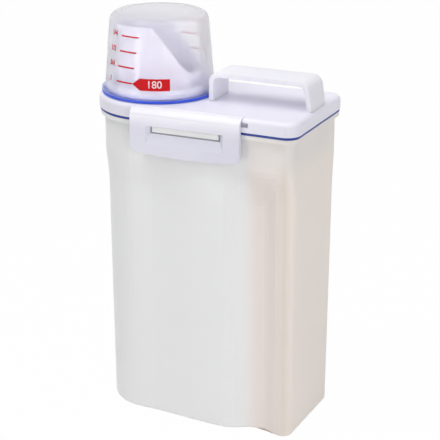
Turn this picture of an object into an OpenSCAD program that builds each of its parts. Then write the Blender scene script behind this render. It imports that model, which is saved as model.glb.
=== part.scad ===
// Rice bin with a latched lid, a pouring spout and a measuring cup that caps the spout.
// Millimetres, Z up. The origin is the middle of the footprint, on the surface the bin stands on.
// +X points to the carry handle, -X to the spout and cup. One latch is on the -Y side, one on +Y.

/* [Bin body] */
// Height of the bin from its base to the top of its rim flange
body_h = 226.2; // [150:0.1:320]
// Thickness of the bin's side walls
wall = 1.8; // [1.2:0.1:3]
// Thickness of the bin's floor
floor_t = 2.4; // [1.5:0.1:5]
// Radius of the round end at the base
base_end_r = 36.2; // [34:0.1:38]
// Half width of the front and back panels at the base
base_half_w = 42.4; // [39:0.1:43]
// Half width across the grip waist
waist_half_w = 33.8; // [30:0.1:38]
// Half width across the two corner posts
post_half_w = 39.4; // [36:0.1:42]
// How much the walls lean outward from the base up to the shoulder
draft = 1.9; // [0:0.1:2]
// Distance of the body's end wall inside the lid's end, at the base
end_inset = 5; // [4.5:0.1:8]
// Height of the neck, from the top of the shoulder to the rim
neck_h = 26; // [24:0.5:40]
// Height over which the shoulder flows into the neck
shoulder_h = 27; // [15:0.5:50]
// Distance of the neck wall inside the lid's outline
neck_inset = 3.9; // [3.6:0.1:4.4]
// Thickness of the rim flange
flange_t = 3; // [2:0.1:4]
// Distance of the flange edge inside the lid's outline
flange_inset = 0.8; // [0.4:0.1:1.4]
// Length of the panels' slope down to the grip waist
panel_slope_l = 23; // [18:0.5:26]
// Length of the grip waist
waist_l = 5; // [3:0.5:8]
// Length of the slope from the waist up to a corner post
post_slope_l = 14; // [10:0.5:18]
// Radius of a corner post's outer edge
post_r = 7; // [5:0.5:8]

/* [Lid] */
// Overall length of the lid
lid_l = 169; // [164:0.5:185]
// Radius of the lid's round end, centred on the spout
lid_end_r = 44; // [44:0.1:46]
// Radius of the lid's two corners at the handle end
lid_corner_r = 10; // [9:0.5:14]
// Half distance between the centres of those corners
lid_corner_y = 37.5; // [36:0.5:38.5]
// Height of the lid's rim
lid_h = 10; // [9.6:0.1:13]
// Thickness of the lid's top plate
lid_t = 2.4; // [1.6:0.1:3]
// Radius of the rounding along the lid's top edge
lid_fillet = 3.5; // [2:0.1:4]
// Thickness of the skirt outside the gasket channel
skirt_t = 2.2; // [1.8:0.1:2.6]
// Depth of the plug ring below the rim
plug_depth = 7; // [4:0.5:9]
// Thickness of the plug ring
plug_t = 2; // [1.4:0.1:3]

/* [Gaskets] */
// Thickness of the lid gasket where it shows between rim and flange
seal_t = 2; // [1:0.1:2.4]
// Height of the gasket's bead inside the lid's channel
bead_h = 2.6; // [1.5:0.1:3]
// Distance of the lid gasket's edge inside the lid's outline
seal_inset = 0.5; // [0.2:0.1:1]
// Outer radius of the ring gasket under the cup
ring_r = 42; // [41.5:0.1:43.5]
// Thickness of the ring gasket under the cup
ring_t = 2.2; // [1:0.1:2.6]

/* [Latches] */
// Length of each latch
latch_l = 84; // [70:1:86]
// Distance of the latches' middle from the spout axis
latch_x = 43; // [42:0.5:50]
// Thickness of a latch plate
latch_t = 3.2; // [2.6:0.1:3.4]
// Gap between the lid's rim and the inside of a closed latch
latch_gap = 0.8; // [0.6:0.1:1.2]
// Depth of a latch below the lid's top, at its two ends
latch_drop = 32.2; // [30:0.1:40]
// How much lower a latch reaches in the middle than at its ends
latch_belly = 1.9; // [0:0.1:4]
// Radius of the latch's lower corners
latch_corner_r = 5; // [2:0.5:7]
// Radius of the latch's upper outer edge
knuckle_r = 6; // [3:0.5:6.5]
// Length of the finger recess in a latch
recess_l = 59.6; // [57:0.2:62]
// Height of the finger recess
recess_h = 13.3; // [12:0.1:14]
// Depth of the recess's top edge below the lid's top
recess_drop = 12.6; // [12.4:0.1:13]
// Length of the slot through the latch
slot_l = 54; // [44:0.2:56]
// Height of the slot through the latch
slot_h = 5.2; // [5:0.1:5.6]
// How much shorter than the slot the bin's lug is
lug_play = 3; // [2:0.5:6]
// How far the bin's lug reaches through the slot, past the inside of the latch
lug_reach = 1; // [0.6:0.1:1.2]
// Height of the lug
lug_h = 3.8; // [2.8:0.1:3.8]
// Gap under the lug in the slot of a closed latch
lug_gap = 1; // [0.95:0.05:1.15]
// Radius of the bead that a latch turns on
bead_r = 0.7; // [0.6:0.05:0.8]
// Distance of the bead's axis inside the lid's side, at the latch's -X end
hinge_inset = 1.1; // [0.9:0.1:1.3]
// Thickness of the flange that joins a latch to its bead
latch_flange_t = 2.5; // [2:0.1:3]

/* [Spout] */
// Length of the spout's passage tube
spout_l = 61; // [50:0.5:62]
// Width of the spout's passage tube
spout_w = 31; // [24:0.5:33]
// Corner radius of the tube
spout_r = 9; // [5:0.5:12]
// Wall of the tube
spout_t = 1.6; // [1.2:0.1:2.4]
// Height of the spout's high lip above the lid
spout_h = 48; // [40:0.5:50]
// Height of the spout's low lip above the lid
spout_low_h = 14; // [12:0.5:24]
// Distance past the spout axis where the high lip ends and the slant begins
slant_x = 2; // [-5:0.5:10]
// Depth of the tube below the lid's top
spout_tail = 6; // [5:0.1:7]
// Height of the collar that the cup fits round
collar_h = 8; // [4:0.5:10]
// Thickness of the collar
collar_t = 1.8; // [1.4:0.1:2.6]
// Thickness of the spout's base disc
disc_t = 1.5; // [1:0.1:2]

/* [Measuring cup] */
// Height of the cup from its rim to its closed end
cup_h = 56; // [53:0.1:70]
// Outer radius of the cup's wall just past the rim
cup_mouth_r = 39.9; // [39.5:0.1:41]
// Outer radius of the cup at its closed end, before the rounding
cup_end_r = 35.3; // [35.1:0.1:38]
// Wall of the cup
cup_wall = 1.4; // [1:0.1:1.6]
// Thickness of the cup's closed end
cup_end_t = 1.8; // [1.2:0.1:3]
// Radius of the rounding round the cup's closed end
cup_round = 6.4; // [4:0.1:7]
// Thickness of the cup's rim lip
cup_lip_t = 1.5; // [1:0.1:2]
// Thickness of the printed scale
ink_t = 0.15; // [0.1:0.05:0.3]
// Number of marks on the scale
mark_count = 4; // [2:1:5]
// Height of the first mark above the cup's rim
first_mark_h = 11; // [8:0.1:14]
// Distance between the marks
mark_step = 10.9; // [8:0.1:11]
// Angle that a mark spans round the cup
mark_span = 21; // [10:1:30]

/* [Carry handle] */
// Gap between the ring gasket under the cup and the handle's nearer post
handle_space = 3.3; // [2:0.1:20]
// Width of the handle
handle_w = 27; // [20:0.5:32]
// Thickness of the handle's strap
handle_t = 3.2; // [2.4:0.1:3.4]
// Height of the handle above the lid
handle_h = 20.7; // [18:0.1:40]
// How far the post at the lid's end leans inward at the top
handle_lean = 3.2; // [0:0.1:6]
// Radius of the handle's two upper corners
handle_r = 7; // [4.5:0.5:10]
// Distance of the handle's outer face inside the lid's end
handle_inset = 1.8; // [1.7:0.1:2.2]
// Depth of the handle's foot in the lid's rim
foot_depth = 4; // [3:0.1:5]
// Width of the handle's feet
foot_w = 21; // [14:0.5:22]

/* [Fits] */
// Gap between parts that pass by each other
clearance = 0.3; // [0.2:0.05:0.4]
// Radial gap of a latch's bead in its groove
hinge_clearance = 0.08; // [0.04:0.01:0.1]

/* [Hidden] */
$fn = 96;
eps = 0.01;

// Main planes and axes
spout_x = lid_end_r - lid_l / 2;
end_x = lid_l / 2;
rim_z = body_h + seal_t;
top_z = rim_z + lid_h;
shoulder_z = body_h - neck_h;
plug_inset = neck_inset + wall + clearance + 0.1;
channel_h = bead_h + 0.2;
latch_mid_x = spout_x + latch_x;

// Centre and radius of the lid corner on the -Y side, and the tangent to the round end
corner_x = end_x - lid_corner_r;
corner_reach = norm([corner_x - spout_x, lid_corner_y]);
corner_a = acos((lid_end_r - lid_corner_r) / corner_reach);
tangent_a = -asin(lid_corner_y / corner_reach) - corner_a;

// Value between 0 and 1 that eases from one to the other as x runs from a to b
function ease(x, a, b) = let (t = max(0, min(1, (x - a) / (b - a)))) t * t * (3 - 2 * t);

function mix(p, q, t) = p * (1 - t) + q * t;

// Half width of the lid's straight side at x, for an outline lying inside the lid's by inset
function lid_side_y(x, inset) =
    (lid_end_r - inset) / -sin(tangent_a) + (x - spout_x) * cos(tangent_a) / sin(tangent_a);

// The latches lie along X, clear of the lid's sides, which spread a little toward +X
latch_in_y = lid_side_y(latch_mid_x + latch_l / 2, 0) + latch_gap;
latch_out_y = latch_in_y + latch_t;
hinge_y = lid_side_y(latch_mid_x - latch_l / 2, 0) - hinge_inset;
hinge_z = top_z - bead_r;
slot_top_z = top_z - recess_drop - 0.4;
slot_low_z = slot_top_z - slot_h;
lug_low_z = slot_low_z + lug_gap;
collar_r = cup_inner_r(ring_t + collar_h) - clearance;

// Outer and inner radius of the cup's wall, at a height above the lid's top while the cup is on
function cup_outer_r(z) = mix(cup_mouth_r, cup_end_r, (z - ring_t) / cup_h);
function cup_inner_r(z) = cup_outer_r(z) - cup_wall;

// Rounds each corner of a polygon given as [x, y, radius]
function rounded(points, steps = 6) = [
    for (i = [0 : len(points) - 1])
        let (
            p = [points[i].x, points[i].y],
            r = points[i].z,
            before = points[(i + len(points) - 1) % len(points)],
            after = points[(i + 1) % len(points)],
            u = ([before.x, before.y] - p) / norm([before.x, before.y] - p),
            v = ([after.x, after.y] - p) / norm([after.x, after.y] - p),
            half = acos(u * v) / 2,
            centre = p + (u + v) / norm(u + v) * r / sin(half),
            a = p + u * r / tan(half) - centre,
            b = p + v * r / tan(half) - centre
        )
        for (k = [0 : r > 0 ? steps : 0])
            r > 0 ? centre + r * unit(mix(a, b, k / steps)) : p
];

function unit(v) = v / norm(v);

// Outline of the lid, moved inward by inset: a round end, two slanting sides and two corners
function lid_outline(inset) = mirrored(lid_half(inset, 24, [0, 1], 8));

module lid_plan(inset) {
    polygon(lid_outline(inset));
}

module lid_ring(outer, inner, low, high) {
    translate([0, 0, low]) linear_extrude(high - low) difference() {
        lid_plan(outer);
        lid_plan(inner);
    }
}

// The lid's outline, moved inward by inset, listed from the round end along the -Y side: end_n
// steps round the end, a point at each share of the side, and corner_n steps round the corner
function lid_half(inset, end_n, side_shares, corner_n) = concat(
    [for (i = [0 : end_n - 1])
        let (a = mix(180, 360 + tangent_a, i / end_n))
        [spout_x + (lid_end_r - inset) * cos(a), (lid_end_r - inset) * sin(a)]],
    [for (t = side_shares)
        let (
            n = [cos(tangent_a), sin(tangent_a)],
            a = [spout_x, 0] + (lid_end_r - inset) * n,
            b = [corner_x, -lid_corner_y] + (lid_corner_r - inset) * n
        )
        mix(a, b, t)],
    [for (i = [1 : corner_n])
        let (a = mix(tangent_a, 0, i / corner_n))
        [corner_x + (lid_corner_r - inset) * cos(a), -lid_corner_y + (lid_corner_r - inset) * sin(a)]]
);

// Places along the length, from the spout axis, where the side panels stop widening, sink to the
// grip waist and rise again to the corner posts
side_l = end_x - end_inset - post_r - spout_x;
post_start = side_l - 1;
waist_end = post_start - post_slope_l;
waist_start = waist_end - waist_l;
panel_end = waist_start - panel_slope_l;

// Points of the bin's cross-section: steps round its end and corner, and places along its side
end_steps = 12;
corner_steps = 5;
side_places = concat(
    [for (i = [0 : 5]) mix(0, panel_end, i / 6)],
    [for (i = [0 : 5]) mix(panel_end, waist_start, i / 6)],
    [for (i = [0 : 4]) mix(waist_end, post_start, i / 4)],
    [side_l]
);
side_shares = [for (x = side_places) x / side_l];

function side_half_w(x) =
    base_end_r + (base_half_w - base_end_r) * ease(x, 0, panel_end)
    - (base_half_w - waist_half_w) * ease(x, panel_end, waist_start)
    + (post_half_w - waist_half_w) * ease(x, waist_end, post_start);

// The body below the shoulder has the grip waist; grow moves its outline outward
function base_half(grow) =
    let (
        r = max(post_r + grow, 1),
        y = side_half_w(side_l) + grow
    )
    concat(
        [for (i = [0 : end_steps - 1])
            let (a = mix(180, 270, i / end_steps))
            [spout_x + (base_end_r + grow) * cos(a), (base_end_r + grow) * sin(a)]],
        [for (x = side_places) [spout_x + x, -side_half_w(x) - grow]],
        [for (i = [1 : corner_steps])
            let (a = mix(270, 360, i / corner_steps))
            [spout_x + side_l + r * cos(a), -y + r + r * sin(a)]]
    );

function mirrored(half) = concat(half, [for (i = [len(half) - 1 : -1 : 1]) [half[i].x, -half[i].y]]);

// Cross-section of the bin at height z, moved inward by inset; the neck follows the lid's outline
function section(z, inset) =
    let (
        t = ease(z, shoulder_z - shoulder_h, shoulder_z),
        low = base_half(draft * z / (shoulder_z - shoulder_h) - inset),
        high = lid_half(neck_inset + inset, end_steps, side_shares, corner_steps)
    )
    mirrored([for (i = [0 : len(low) - 1]) mix(low[i], high[i], t)]);

// Solid through a stack of cross-sections at the heights given
module loft(rings, heights) {
    n = len(rings[0]);
    m = len(rings);
    points = [for (j = [0 : m - 1]) for (p = rings[j]) [p.x, p.y, heights[j]]];
    sides = [for (j = [0 : m - 2]) for (i = [0 : n - 1])
        let (k = (i + 1) % n)
        each [[j * n + i, (j + 1) * n + i, (j + 1) * n + k], [j * n + i, (j + 1) * n + k, j * n + k]]];
    bottom = [for (i = [0 : n - 1]) i];
    top = [for (i = [n - 1 : -1 : 0]) (m - 1) * n + i];
    polyhedron(points, concat([bottom], sides, [top]), convexity = 6);
}

shoulder_steps = 7;
base_round = 1.6;
wall_heights = [for (i = [0 : shoulder_steps])
    mix(shoulder_z - shoulder_h, shoulder_z, i / shoulder_steps)];

// Solid of the bin's form; levels lists [height, inset]
module bin_form(levels) {
    loft([for (l = levels) section(l.x, l.y)], [for (l = levels) l.x]);
}

module bin_body() {
    flange_in = neck_inset + wall / 2;
    outside = concat(
        [for (a = [0 : 30 : 60]) [base_round * (1 - cos(a)) + 0.4 * sin(a), base_round * (1 - sin(a))]],
        [[base_round + 0.4, 0]],
        [for (z = wall_heights) [z, 0]],
        [[body_h, 0]]
    );
    inside = concat(
        [[floor_t, wall + 1.5], [floor_t + 1.5, wall]],
        [for (z = wall_heights) [z, wall]],
        [[body_h + 1, wall]]
    );
    color([0.88, 0.87, 0.86, 0.75])
    difference() {
        union() {
            bin_form(outside);
            lid_ring(flange_inset, flange_in, body_h - flange_t, body_h);
            for (s = [0, 1]) mirror([0, s, 0]) latch_lug();
        }
        bin_form(inside);
    }
}

// Bar on the rim flange that a latch's slot closes round
module latch_lug() {
    lug_l = slot_l - lug_play;
    x = latch_mid_x - lug_l / 2;
    out_y = latch_in_y + lug_reach;
    in_y = lid_side_y(x, neck_inset + wall);
    translate([x, -out_y, lug_low_z]) cube([lug_l, out_y - in_y, lug_h]);
}

module lid_shell() {
    color([0.94, 0.93, 0.97])
    difference() {
        union() {
            lid_blank();
            for (s = [0, 1]) mirror([0, s, 0]) hinge_ledge();
            lid_ring(plug_inset, plug_inset + plug_t, rim_z - plug_depth, rim_z + channel_h);
        }
        translate([0, 0, rim_z - plug_depth - 1])
            linear_extrude(lid_h + plug_depth + 1 - lid_t) lid_plan(plug_inset + plug_t);
        lid_ring(skirt_t, plug_inset, rim_z - 1, rim_z + channel_h);
        for (s = [0, 1]) mirror([0, s, 0]) latch_pocket();
        translate([spout_x, 0, top_z - lid_t - 1])
            linear_extrude(lid_t + 2)
            slot_plan(spout_l + 2 * clearance, spout_w + 2 * clearance, spout_r + clearance);
        handle_sockets();
    }
}

// Rim and top plate in one, with a rounded top edge
module lid_blank() {
    levels = concat(
        [[rim_z, 0]],
        [for (a = [0 : 15 : 90]) [top_z - lid_fillet * (1 - sin(a)), lid_fillet * (1 - cos(a))]]
    );
    loft([for (l = levels) lid_outline(l.y)], [for (l = levels) l.x]);
}

// Flat edge of the lid's top along a latch, in place of the rounding
module hinge_ledge() {
    x = latch_mid_x - latch_l / 2 - 2 * clearance;
    translate([x, -hinge_y, top_z - lid_fillet])
        cube([latch_l + 4 * clearance, lid_fillet + 1, lid_fillet]);
}

// Room in the lid's rim for a latch, with the bead's groove, a bevel that the open latch leans
// back over, and a finger notch under the lid's top edge at the latch's +X end
notch_l = 4.2;
notch_top = 3.2;
pocket_drop = 6.5;
open_a = 120;

module latch_pocket() {
    x = latch_mid_x - latch_l / 2 - 2 * clearance;
    l = latch_l + 4 * clearance;
    translate([x, -hinge_y, hinge_z]) {
        translate([0, -20, bead_r - pocket_drop]) cube([l, 20, lid_h]);
        translate([l - 1, -20, bead_r - pocket_drop]) cube([1 + notch_l, 20, pocket_drop - notch_top]);
        rotate([0, 90, 0]) cylinder(r = bead_r + hinge_clearance, h = l);
        rotate([90, 0, 90]) linear_extrude(l)
            polygon([[-1, 0], [0, 0], [-3 * cos(open_a), 3 * sin(open_a)], [-1, 3 * sin(open_a)]]);
    }
}

// Rectangle with rounded corners, centred
module slot_plan(l, w, r) {
    square([l - 2 * r, w], center = true);
    square([l, w - 2 * r], center = true);
    for (x = [-1, 1], y = [-1, 1]) translate([x * (l / 2 - r), y * (w / 2 - r)]) circle(r = r);
}

module lid_gasket() {
    color([0.16, 0.27, 0.62]) {
        lid_ring(seal_inset, plug_inset - clearance, body_h, rim_z);
        lid_ring(skirt_t + clearance, plug_inset - clearance, rim_z - eps, rim_z + bead_h);
    }
}

module pour_spout() {
    catch_l = 16;
    catch_h = 2;
    catch_reach = 1.2;
    color([0.93, 0.92, 0.96])
    translate([spout_x, 0, top_z])
    difference() {
        union() {
            linear_extrude(disc_t) circle(r = collar_r);
            linear_extrude(collar_h) difference() {
                circle(r = collar_r);
                circle(r = collar_r - collar_t);
            }
            intersection() {
                translate([0, 0, -spout_tail]) linear_extrude(spout_tail + spout_h)
                    slot_plan(spout_l, spout_w, spout_r);
                spout_side();
            }
            for (s = [-1, 1]) translate([0, s * spout_w / 2, -lid_t - 0.2 - catch_h / 2])
                cube([catch_l, 2 * catch_reach, catch_h], center = true);
        }
        translate([0, 0, -spout_tail - 1]) linear_extrude(spout_tail + spout_h + 2)
            slot_plan(spout_l - 2 * spout_t, spout_w - 2 * spout_t, spout_r - spout_t);
    }
}

// Side view of the spout: a high lip, a slanting edge and a low lip
module spout_side() {
    half_l = spout_l / 2 + 1;
    rotate([90, 0, 0]) linear_extrude(spout_w + 2, center = true) polygon(rounded([
        [-half_l, -spout_tail, 0],
        [half_l, -spout_tail, 0],
        [half_l, spout_low_h, 0],
        [slant_x, spout_h, 5],
        [-half_l, spout_h, 0]
    ]));
}

module cup_gasket() {
    r = ring_t / 2;
    color([0.2, 0.32, 0.78])
    translate([spout_x, 0, top_z]) rotate_extrude() {
        translate([collar_r + clearance, 0]) square([ring_r - r - collar_r - clearance, ring_t]);
        translate([ring_r - r, r]) circle(r = r, $fn = 32);
    }
}

module measuring_cup() {
    seat = ring_t;
    top = seat + cup_h;
    lip_top = seat + cup_lip_t;
    wall_start = lip_top + 1.6;
    recess_r = 27;
    recess_depth = 0.5;
    outer = rounded([
        [0, top, 0],
        [0, seat, 0],
        [ring_r, seat, 0.4],
        [ring_r - 0.1, lip_top, 0.5],
        [cup_outer_r(wall_start), wall_start, 1.2],
        [cup_outer_r(top), top, cup_round]
    ]);
    inner = rounded([
        [0, top - cup_end_t, 0],
        [0, seat - 1, 0],
        [cup_inner_r(seat - 1), seat - 1, 0],
        [cup_inner_r(top - cup_end_t), top - cup_end_t, cup_round - cup_wall]
    ]);
    color([0.9, 0.9, 0.93, 0.5])
    translate([spout_x, 0, top_z])
    difference() {
        rotate_extrude() polygon(outer);
        rotate_extrude() polygon(inner);
        translate([0, 0, top - recess_depth]) cylinder(r = recess_r, h = 1);
    }
}

// Printed marks on two sides of the cup's wall, with a plain pointer tag at the front's first mark
module cup_scale() {
    mark_w = 1;
    left_a = -115;
    tag_l = 21.5;
    tag_h = 8.4;
    tag_tip = 5.5;
    tag_a = -69;
    z0 = ring_t + first_mark_h;
    low = ring_t + 5;
    high = ring_t + cup_h - cup_round - 1;
    color([0.82, 0.08, 0.1])
    translate([spout_x, 0, top_z])
    intersection() {
        rotate_extrude() polygon([
            [cup_outer_r(low), low],
            [cup_outer_r(low) + ink_t, low],
            [cup_outer_r(high) + ink_t, high],
            [cup_outer_r(high), high]
        ]);
        union() {
            for (side_a = [0, 180], i = [0 : mark_count - 1]) {
                mid_a = side_a + left_a + 2 * i + mark_span / 2;
                mark_l = 2 * cup_mouth_r * sin(mark_span / 2);
                rotate([0, 0, mid_a]) translate([20, -mark_l / 2, z0 + i * mark_step - mark_w / 2])
                    cube([30, mark_l, mark_w]);
            }
            rotate([0, 0, tag_a]) translate([20, 0, z0]) rotate([90, 0, 90]) linear_extrude(30)
                polygon([
                    [-tag_l / 2 - tag_tip, 0],
                    [-tag_l / 2, -tag_h / 2],
                    [tag_l / 2, -tag_h / 2],
                    [tag_l / 2, tag_h / 2],
                    [-tag_l / 2, tag_h / 2]
                ]);
        }
    }
}

// Carry handle: a strap bent over the lid, its feet seated in the lid
handle_out_x = end_x - handle_inset;
handle_in_x = spout_x + ring_r + handle_space;

// Side outline of the strap, moved inward by t
function strap(t) = [
    [handle_in_x + t, top_z - lid_t - 3, 0],
    [handle_in_x + t, top_z + handle_h - t, handle_r - t],
    [handle_out_x - handle_lean - t, top_z + handle_h - t, handle_r - t],
    [handle_out_x - t, top_z, 0],
    [handle_out_x - t, top_z - foot_depth, 0]
];

module carry_handle() {
    barb = 0.9;
    low = top_z - foot_depth - 3;
    color([0.94, 0.93, 0.97])
    difference() {
        union() {
            rotate([90, 0, 0]) linear_extrude(handle_w, center = true) difference() {
                polygon(rounded(strap(0)));
                polygon(rounded(concat([[handle_in_x + handle_t, low - 1, 0]], strap(handle_t),
                    [[handle_out_x - handle_t, low - 1, 0]])));
            }
            translate([handle_in_x + handle_t - 1, -5, top_z - lid_t - 3]) cube([1 + barb, 10, 3 - 0.2]);
        }
        for (s = [-1, 1], x = [handle_in_x, handle_out_x - handle_t]) foot_shoulder(x, s);
    }
}

// Cuts a foot narrower than the strap, so that the strap's edges stand on the lid
module foot_shoulder(x, side) {
    w = (handle_w - foot_w) / 2;
    translate([x - 1, side * (foot_w / 2 + w / 2 + 0.5) - w / 2 - 0.5, top_z - 20])
        cube([handle_t + 3, w + 1, 20]);
}

// Slots in the lid for the handle's feet
module handle_sockets() {
    c = clearance / 2;
    translate([handle_in_x - c, -foot_w / 2 - c, top_z - lid_t - 1])
        cube([handle_t + 2 * c, foot_w + 2 * c, lid_t + 2]);
    translate([handle_out_x - handle_t - c, -foot_w / 2 - c, top_z - foot_depth - c])
        cube([handle_t + 2 * c, foot_w + 2 * c, foot_depth + 1]);
}

// A latch in its place on the -Y side: a plate that hangs outside the rim, and a flange with a
// bead along its edge that turns in the lid's groove
module latch() {
    low_z = top_z - latch_drop;
    plate_low_z = low_z - latch_belly - 1;
    side = rounded([
        [-hinge_y - clearance, hinge_z - latch_flange_t, 0],
        [-hinge_y - clearance, hinge_z, 0],
        [-latch_out_y, hinge_z, knuckle_r],
        [-latch_out_y, plate_low_z, 0],
        [-latch_in_y, plate_low_z, 0],
        [-latch_in_y, hinge_z - latch_flange_t, 1]
    ]);
    difference() {
        union() {
            intersection() {
                translate([latch_mid_x, 0, 0])
                    rotate([90, 0, 90]) linear_extrude(latch_l, center = true) polygon(side);
                latch_front_plan(low_z);
            }
            translate([latch_mid_x - latch_l / 2, -hinge_y, hinge_z])
                rotate([0, 90, 0]) cylinder(r = bead_r, h = latch_l);
        }
        translate([latch_mid_x - slot_l / 2, -latch_out_y - 1, slot_low_z])
            cube([slot_l, latch_t + 2, slot_h]);
        finger_recess();
    }
}

// Front view of a latch: square above, with round lower corners and a bowed lower edge
module latch_front_plan(low_z) {
    r = latch_corner_r;
    half_l = latch_l / 2;
    steps = 8;
    bow = [for (i = [1 : steps - 1])
        let (x = mix(-half_l + r, half_l - r, i / steps))
        [x, low_z - latch_belly * (1 - pow(x / (half_l - r), 2)), 0]];
    reach = 2 * (latch_out_y + 1);
    translate([latch_mid_x, 0, 0]) rotate([90, 0, 0]) linear_extrude(reach, center = true)
        polygon(rounded(concat(
            [[half_l, top_z + 1, 0], [-half_l, top_z + 1, 0], [-half_l, low_z, r]],
            bow,
            [[half_l, low_z, r]]
        )));
}

// Sloping recess for a fingertip, from the latch's outer face in to its slot
module finger_recess() {
    depth = latch_t * 0.6;
    translate([latch_mid_x, -latch_out_y, 0]) hull() {
        translate([-recess_l / 2, -eps, top_z - recess_drop - recess_h]) cube([recess_l, eps, recess_h]);
        translate([-slot_l / 2, depth, slot_low_z]) cube([slot_l, eps, slot_h]);
    }
}

module front_latch() {
    color([0.93, 0.92, 0.97]) latch();
}

module back_latch() {
    color([0.93, 0.92, 0.97]) translate([2 * latch_mid_x, 0, 0]) rotate([0, 0, 180]) latch();
}

bin_body();
lid_shell();
lid_gasket();
pour_spout();
cup_gasket();
measuring_cup();
cup_scale();
carry_handle();
front_latch();
back_latch();
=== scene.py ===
"""Looks of the rice bin: materials, rounded edges, printed digits, light, floor and camera.

Pieces are placed in metres in the part's own frame; sizes in mm are turned into metres by MM. The
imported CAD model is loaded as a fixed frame.
"""
import math

import bmesh
import bpy
from mathutils import Matrix, Vector


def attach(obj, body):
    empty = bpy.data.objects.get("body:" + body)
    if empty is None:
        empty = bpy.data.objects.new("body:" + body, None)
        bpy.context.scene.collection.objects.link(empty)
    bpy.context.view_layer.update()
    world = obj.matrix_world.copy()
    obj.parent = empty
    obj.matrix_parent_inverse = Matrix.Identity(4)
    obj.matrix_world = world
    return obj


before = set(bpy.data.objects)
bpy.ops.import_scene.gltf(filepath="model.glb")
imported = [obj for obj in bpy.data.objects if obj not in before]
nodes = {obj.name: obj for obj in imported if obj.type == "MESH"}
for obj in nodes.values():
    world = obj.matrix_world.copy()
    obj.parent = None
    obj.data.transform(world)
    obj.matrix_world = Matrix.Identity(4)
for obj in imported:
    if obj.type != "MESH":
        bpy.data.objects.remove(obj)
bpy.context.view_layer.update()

MM = 0.001
SPOUT_X = -40.5
TOP_Z = 238.2

# Camera, solved from the photo: its place is from the cup's axis at the lid's top
PHOTO_WIDTH_PX = 440
FOCAL_PX = 1645.6
SENSOR_WIDTH = 36
CAMERA_AZ = math.radians(24.45)
CAMERA_EL = math.radians(19.16)
CAMERA_FROM_CUP = Vector((519.68, -1037.84, 302.72))

camera_at = (CAMERA_FROM_CUP + Vector((SPOUT_X, 0, TOP_Z))) * MM
back = Vector((
    math.sin(CAMERA_AZ) * math.cos(CAMERA_EL),
    -math.cos(CAMERA_AZ) * math.cos(CAMERA_EL),
    math.sin(CAMERA_EL),
))
right = Vector((math.cos(CAMERA_AZ), math.sin(CAMERA_AZ), 0))
up = back.cross(right)
camera_data = bpy.data.cameras.new("camera")
camera_data.sensor_width = SENSOR_WIDTH
camera_data.lens = FOCAL_PX / PHOTO_WIDTH_PX * SENSOR_WIDTH
camera_data.clip_start = 0.05
camera_data.clip_end = 20
camera = bpy.data.objects.new("camera", camera_data)
camera.matrix_world = Matrix.Translation(camera_at) @ Matrix((right, up, back)).transposed().to_4x4()
bpy.context.scene.collection.objects.link(camera)
bpy.context.scene.camera = camera


# Colours

def srgb(r, g, b):
    """Linear colour from 0 to 255 display values."""
    def linear(v):
        v /= 255
        return v / 12.92 if v <= 0.04045 else ((v + 0.055) / 1.055) ** 2.4
    return (linear(r), linear(g), linear(b), 1)


# Materials

class Shader:
    """A material with a Principled shader, and short calls that add nodes."""

    def __init__(self, name, **sockets):
        self.material = bpy.data.materials.new(name)
        self.material.use_nodes = True
        self.tree = self.material.node_tree
        self.bsdf = self.tree.nodes["Principled BSDF"]
        for key, value in sockets.items():
            self.bsdf.inputs[key.replace("_", " ")].default_value = value

    def add(self, kind, **values):
        node = self.tree.nodes.new(kind)
        for key, value in values.items():
            setattr(node, key, value)
        return node

    def link(self, a, b):
        self.tree.links.new(a, b)

    def position(self):
        """Object coordinates, which are the part's own frame."""
        return self.add("ShaderNodeTexCoord").outputs["Object"]

    def noise(self, scale, detail=3, stretch=None):
        """Fac output of a noise over the object."""
        node = self.add("ShaderNodeTexNoise")
        node.inputs["Scale"].default_value = scale
        node.inputs["Detail"].default_value = detail
        vector = self.position()
        if stretch:
            mapping = self.add("ShaderNodeMapping")
            mapping.inputs["Scale"].default_value = stretch
            self.link(vector, mapping.inputs["Vector"])
            vector = mapping.outputs["Vector"]
        self.link(vector, node.inputs["Vector"])
        return node.outputs["Fac"]

    def ramp(self, value, *stops):
        """Colour ramp; each stop is (place, colour)."""
        node = self.add("ShaderNodeValToRGB")
        band = node.color_ramp
        while len(band.elements) < len(stops):
            band.elements.new(0.5)
        for element, (place, colour) in zip(band.elements, stops):
            element.position = place
            element.color = colour
        self.link(value, node.inputs["Fac"])
        return node.outputs["Color"]

    def spread(self, value, low, high, to_low=0.0, to_high=1.0, kind="SMOOTHSTEP"):
        """Value mapped from low..high to to_low..to_high, smoothly unless kind is LINEAR."""
        node = self.add("ShaderNodeMapRange", interpolation_type=kind)
        for key, v in (("From Min", low), ("From Max", high), ("To Min", to_low), ("To Max", to_high)):
            node.inputs[key].default_value = v
        self.link(value, node.inputs["Value"])
        return node.outputs["Result"]

    def mix(self, factor, a, b):
        """Colour a where factor is 0, b where it is 1."""
        node = self.add("ShaderNodeMix", data_type="RGBA")
        self.link(factor, node.inputs["Factor"])
        for socket, value in ((node.inputs[6], a), (node.inputs[7], b)):
            if isinstance(value, tuple):
                socket.default_value = value
            else:
                self.link(value, socket)
        return node.outputs[2]

    def axes(self):
        node = self.add("ShaderNodeSeparateXYZ")
        self.link(self.position(), node.inputs["Vector"])
        return node.outputs

    def colour(self, output):
        self.link(output, self.bsdf.inputs["Base Color"])

    def rough(self, fac, low, high):
        self.link(self.spread(fac, 0.3, 0.7, low, high), self.bsdf.inputs["Roughness"])

    def bump(self, height, strength, distance):
        node = self.add("ShaderNodeBump")
        node.inputs["Strength"].default_value = strength
        node.inputs["Distance"].default_value = distance
        self.link(height, node.inputs["Height"])
        self.link(node.outputs["Normal"], self.bsdf.inputs["Normal"])


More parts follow.
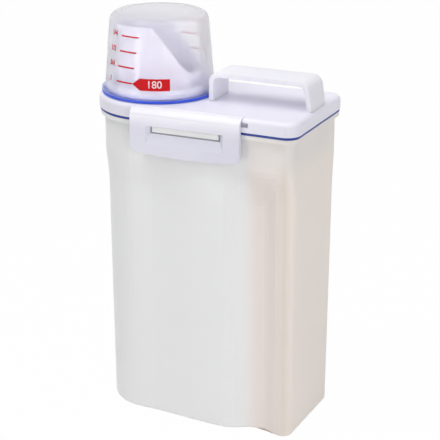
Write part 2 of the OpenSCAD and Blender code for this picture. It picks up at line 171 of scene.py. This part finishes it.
# Heights and places in metres between which the painted highlight on the latches and the painted
# reflection tints on the bin fade
LATCH_PAINTED_HIGHLIGHT_Z = (0.222, 0.234)
BIN_PAINTED_REFLECTION_X = (0.04, 0.055)
BIN_REFLECTION_BANDS_X = (0.05, 0.08)
BIN_NECK_REFLECTION_Z = (0.19, 0.215)

# How far light spreads in the white plastic, in metres at full subsurface weight
WHITE_SCATTER = 0.025


def white_plastic(name, dark, light, rough, glow=0.12, top=None):
    """White moulding; top, where given, is the painted highlight colour that a latch's upper edge fades
    to.
    """
    s = Shader(name, IOR=1.49, Subsurface_Weight=glow, Subsurface_Scale=glow * WHITE_SCATTER)
    s.bsdf.inputs["Subsurface Radius"].default_value = (1, 1, 1)
    colour = s.ramp(s.noise(18, 2), (0.3, dark), (0.7, light))
    # Painted highlight: above these heights the colour fades to top, lighter along a latch's upper edge.
    if top:
        z = s.axes()[2]
        colour = s.mix(s.spread(z, *LATCH_PAINTED_HIGHLIGHT_Z), colour, top)
    s.colour(colour)
    s.rough(s.noise(90, 4), *rough)
    s.bump(s.noise(2600, 2), 0.06, 0.0002)
    return s.material


def bin_plastic():
    """Milky polypropylene: neutral in front, with a painted reflection tint toward the handle end: warm
    bands, a lighter painted highlight strip on the corner post and a greyer neck.
    """
    s = Shader("bin_plastic", IOR=1.49, Transmission_Weight=0.02, Subsurface_Weight=0.15,
               Subsurface_Scale=0.004)
    s.bsdf.inputs["Subsurface Radius"].default_value = (1, 0.95, 0.9)
    x, _, z = s.axes()
    cloudy = s.ramp(
        s.noise(9, 3, (1, 1, 0.3)),
        (0.3, srgb(247, 247, 247)),
        (0.7, srgb(250, 250, 250)),
    )
    # Painted reflection: warm beige bands toward the handle end, with a lighter painted highlight strip
    # on the corner post.
    painted_reflection_bands = s.ramp(
        s.spread(x, *BIN_REFLECTION_BANDS_X, kind="LINEAR"),
        (0.6, srgb(247, 235, 229)),
        (0.85, srgb(237, 227, 216)),
        (0.97, srgb(252, 241, 232)),
    )
    # Painted reflection: a greyer tint on the neck above these heights.
    painted_reflection_tint = s.mix(s.spread(z, *BIN_NECK_REFLECTION_Z), painted_reflection_bands, srgb(240, 234, 230))
    s.colour(s.mix(s.spread(x, *BIN_PAINTED_REFLECTION_X), cloudy, painted_reflection_tint))
    s.rough(s.noise(70, 4), 0.36, 0.46)
    s.bump(s.noise(1800, 2), 0.05, 0.0002)
    return s.material


def clear_plastic():
    """Glossy skin over a faintly milky wall, which shows less where it is seen square on."""
    s = Shader("clear_plastic", IOR=1.25, Transmission_Weight=0.85, Coat_Weight=0.7, Coat_Roughness=0.05)
    s.colour(s.ramp(s.noise(14, 2), (0.3, srgb(240, 239, 247)), (0.7, srgb(245, 244, 250))))
    s.rough(s.noise(60, 3), 0.5, 0.6)
    s.bump(s.noise(500, 2), 0.03, 0.0002)
    edge = s.add("ShaderNodeLayerWeight")
    edge.inputs["Blend"].default_value = 0.35
    cover = s.spread(edge.outputs["Facing"], 0.05, 0.95, to_low=0.32, to_high=0.74)
    s.link(cover, s.bsdf.inputs["Alpha"])
    return s.material


def silicone(name, dark, light):
    s = Shader(name, IOR=1.41, Subsurface_Weight=0.1, Subsurface_Scale=0.001)
    s.colour(s.ramp(s.noise(60, 3), (0.3, dark), (0.7, light)))
    s.rough(s.noise(150, 3), 0.36, 0.5)
    s.bump(s.noise(1500, 2), 0.08, 0.0002)
    return s.material


def print_ink(name, thin, full):
    s = Shader(name, IOR=1.45, Specular_IOR_Level=0.2)
    s.colour(s.ramp(s.noise(700, 4), (0.25, thin), (0.6, full)))
    s.rough(s.noise(900, 3), 0.5, 0.6)
    s.bump(s.noise(3000, 2), 0.1, 0.0001)
    return s.material


SATIN = (0.34, 0.42)
white = white_plastic("white_plastic", srgb(236, 234, 247), srgb(241, 239, 250), SATIN)
# Latches: a darker copy of the white plastic, painted shade on their front faces, with a painted
# highlight fading in along the upper edge.
latch_painted_shade_and_highlight = white_plastic("latch_painted_shade_and_highlight", srgb(221, 220, 234), srgb(225, 224, 237), (0.32, 0.37),
                            top=srgb(245, 243, 252))
# The handle: a slightly lighter copy of the white plastic, painted light to lift the shade under the
# handle, with more subsurface glow.
handle_white_painted_light = white_plastic("handle_white_painted_light", srgb(238, 236, 247), srgb(243, 241, 250), SATIN,
                             glow=0.5)
milky = bin_plastic()
clear = clear_plastic()
seal_blue = silicone("seal_blue", srgb(26, 54, 146), srgb(34, 64, 158))
ring_blue = silicone("ring_blue", srgb(50, 84, 215), srgb(62, 98, 228))
red_ink = print_ink("red_ink", srgb(206, 20, 30), srgb(216, 10, 20))
white_ink = print_ink("white_ink", srgb(238, 220, 224), srgb(250, 240, 242))


# CAD nodes

BEVEL_ANGLE = math.radians(35)
BEVEL_SEGMENTS = 3
WELD_DISTANCE = 2e-6  # metres


def dress(name, material, bevel):
    """Gives a CAD node its material and, where bevel in mm isn't 0, softly rounded edges."""
    o = nodes[name]
    o.data.materials.clear()
    o.data.materials.append(material)
    weld = o.modifiers.new("weld", "WELD")
    weld.merge_threshold = WELD_DISTANCE
    if bevel:
        m = o.modifiers.new("bevel", "BEVEL")
        m.width = bevel * MM
        m.segments = BEVEL_SEGMENTS
        m.limit_method = "ANGLE"
        m.angle_limit = BEVEL_ANGLE
        m.use_clamp_overlap = True
        m.miter_outer = "MITER_ARC"


dress("bin_body", milky, 0.5)
dress("lid_shell", white, 0.35)
dress("pour_spout", white, 0.4)
dress("carry_handle", handle_white_painted_light, 0.9)
dress("front_latch", latch_painted_shade_and_highlight, 0.7)
dress("back_latch", latch_painted_shade_and_highlight, 0.7)
dress("measuring_cup", clear, 0.2)
dress("lid_gasket", seal_blue, 0.3)
dress("cup_gasket", ring_blue, 0)
dress("cup_scale", red_ink, 0)


# Print on the cup: sizes in mm, heights from the lid's top

RING_T = 2.2
CUP_H = 56
CUP_MOUTH_R = 39.9
CUP_END_R = 35.3
FIRST_MARK_Z = 13.2
MARK_STEP = 10.9
CAPITAL_SHARE = 0.7


def cup_radius(z):
    """Outer radius of the cup in mm, z mm above the lid's top."""
    return CUP_MOUTH_R + (CUP_END_R - CUP_MOUTH_R) * (z - RING_T) / CUP_H


def print_on_cup(name, words, height, angle, z, material, low, high):
    """Prints characters on the cup's wall, from low to high above its face, angle degrees from +X."""
    curve = bpy.data.curves.new(name, "FONT")
    curve.body = words
    curve.size = height / CAPITAL_SHARE
    curve.align_x = "CENTER"
    curve.align_y = "CENTER"
    curve.resolution_u = 4
    curve.offset = 0.08
    holder = bpy.data.objects.new(name, curve)
    bpy.context.scene.collection.objects.link(holder)
    bpy.context.view_layer.update()
    graph = bpy.context.evaluated_depsgraph_get()
    flat = bpy.data.meshes.new_from_object(holder.evaluated_get(graph))
    bpy.data.objects.remove(holder)
    bm = bmesh.new()
    bm.from_mesh(flat)
    bpy.data.meshes.remove(flat)
    bmesh.ops.remove_doubles(bm, verts=bm.verts, dist=0.001)
    for v in bm.verts:
        v.co.z = low
    raised = bmesh.ops.extrude_face_region(bm, geom=bm.faces[:])
    for v in raised["geom"]:
        if isinstance(v, bmesh.types.BMVert):
            v.co.z = high
    for v in bm.verts:
        level = z + v.co.y
        r = cup_radius(level) + v.co.z
        a = math.radians(angle) + v.co.x / cup_radius(level)
        v.co = Vector((SPOUT_X + r * math.cos(a), r * math.sin(a), TOP_Z + level)) * MM
    bmesh.ops.recalc_face_normals(bm, faces=bm.faces[:])
    mesh = bpy.data.meshes.new(name)
    bm.to_mesh(mesh)
    bm.free()
    mesh.materials.clear()
    mesh.materials.append(material)
    o = bpy.data.objects.new(name, mesh)
    bpy.context.scene.collection.objects.link(o)
    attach(o, "cup")


INK_DEPTHS = (-0.05, 0.15)
TAG_INK_DEPTHS = (0.1, 0.22)
LABELS = ("1", "3/4", "1/2", "1/4")
LABEL_HEIGHT = 3.6
LABEL_RISE = 0.7
FIRST_LABEL_ANGLE = -126.5
LABEL_ANGLE_STEP = 1.4
TAG_NUMBER_HEIGHT = 5.2
TAG_ANGLE = -69.5
for i, label in enumerate(LABELS):
    for side, turn in (("front", 0), ("back", 180)):
        print_on_cup(f"label_{side}_{i + 1}", label, LABEL_HEIGHT,
                     FIRST_LABEL_ANGLE + LABEL_ANGLE_STEP * i + turn,
                     FIRST_MARK_Z + LABEL_RISE + i * MARK_STEP, red_ink, *INK_DEPTHS)
print_on_cup("tag_number", "180", TAG_NUMBER_HEIGHT, TAG_ANGLE, FIRST_MARK_Z, white_ink,
             *TAG_INK_DEPTHS)


# Floor, light and background

FLOOR_SIZE = 12
FLOOR_Z = -0.0002


def plane(name, size, z):
    mesh = bpy.data.meshes.new(name)
    h = size / 2
    mesh.from_pydata([(-h, -h, z), (h, -h, z), (h, h, z), (-h, h, z)], [], [(0, 1, 2, 3)])
    o = bpy.data.objects.new(name, mesh)
    bpy.context.scene.collection.objects.link(o)
    return o


def camera_sees_white(tree, lit, white_output, target, strength):
    """Shows white to the camera, in reflections and through clear walls, and lit to the light."""
    path = tree.nodes.new("ShaderNodeLightPath")
    seen = path.outputs["Is Camera Ray"]
    for ray in ("Is Glossy Ray", "Is Transmission Ray"):
        either = tree.nodes.new("ShaderNodeMath")
        either.operation = "MAXIMUM"
        tree.links.new(seen, either.inputs[0])
        tree.links.new(path.outputs[ray], either.inputs[1])
        seen = either.outputs[0]
    part = tree.nodes.new("ShaderNodeMath")
    part.operation = "MULTIPLY"
    part.inputs[1].default_value = strength
    tree.links.new(seen, part.inputs[0])
    mix = tree.nodes.new("ShaderNodeMixShader")
    tree.links.new(part.outputs[0], mix.inputs[0])
    tree.links.new(lit, mix.inputs[1])
    tree.links.new(white_output, mix.inputs[2])
    tree.links.new(mix.outputs[0], target)


floor = plane("floor", FLOOR_SIZE, FLOOR_Z)
floor_material = bpy.data.materials.new("floor_white")
floor_material.use_nodes = True
tree = floor_material.node_tree
emission = tree.nodes.new("ShaderNodeEmission")
emission.inputs["Color"].default_value = (1, 1, 1, 1)
surface = tree.nodes["Principled BSDF"]
surface.inputs["Base Color"].default_value = srgb(226, 225, 223)
surface.inputs["Roughness"].default_value = 0.6
camera_sees_white(tree, surface.outputs[0], emission.outputs[0],
                  tree.nodes["Material Output"].inputs["Surface"], 0.98)
floor.data.materials.append(floor_material)

world = bpy.data.worlds.new("studio")
bpy.context.scene.world = world
world.use_nodes = True
tree = world.node_tree
soft = tree.nodes["Background"]
soft.inputs["Color"].default_value = (0.97, 0.98, 1, 1)
soft.inputs["Strength"].default_value = 0.45
bright = tree.nodes.new("ShaderNodeBackground")
bright.inputs["Color"].default_value = (1, 1, 1, 1)
camera_sees_white(tree, soft.outputs[0], bright.outputs[0],
                  tree.nodes["World Output"].inputs["Surface"], 1)


def area_light(name, at, toward, size, power):
    """Square lamp of the given size in metres and power in watts, turned to a point."""
    data = bpy.data.lights.new(name, "AREA")
    data.shape = "SQUARE"
    data.size = size
    data.energy = power
    o = bpy.data.objects.new(name, data)
    o.location = at
    o.rotation_mode = "QUATERNION"
    o.rotation_quaternion = (Vector(at) - Vector(toward)).to_track_quat("Z", "Y")
    bpy.context.scene.collection.objects.link(o)
    return o


centre = (0, 0, 0.15)
area_light("key", (-0.55, -0.65, 1.45), centre, 0.6, 5)
area_light("top", (-0.25, 0, 1.6), centre, 1.0, 7.4)
area_light("side", (1.0, -0.9, 0.4), centre, 0.9, 5)

# A tall window whose reflection shows on the cup; it adds no light to matte surfaces
window = area_light("window", (-0.26, -0.55, 0.16), (SPOUT_X * MM, 0, 0.27), 0.1, 0.8)
window.data.shape = "RECTANGLE"
window.data.size_y = 0.24
window.visible_diffuse = False

bpy.context.scene.view_settings.view_transform = "Standard"
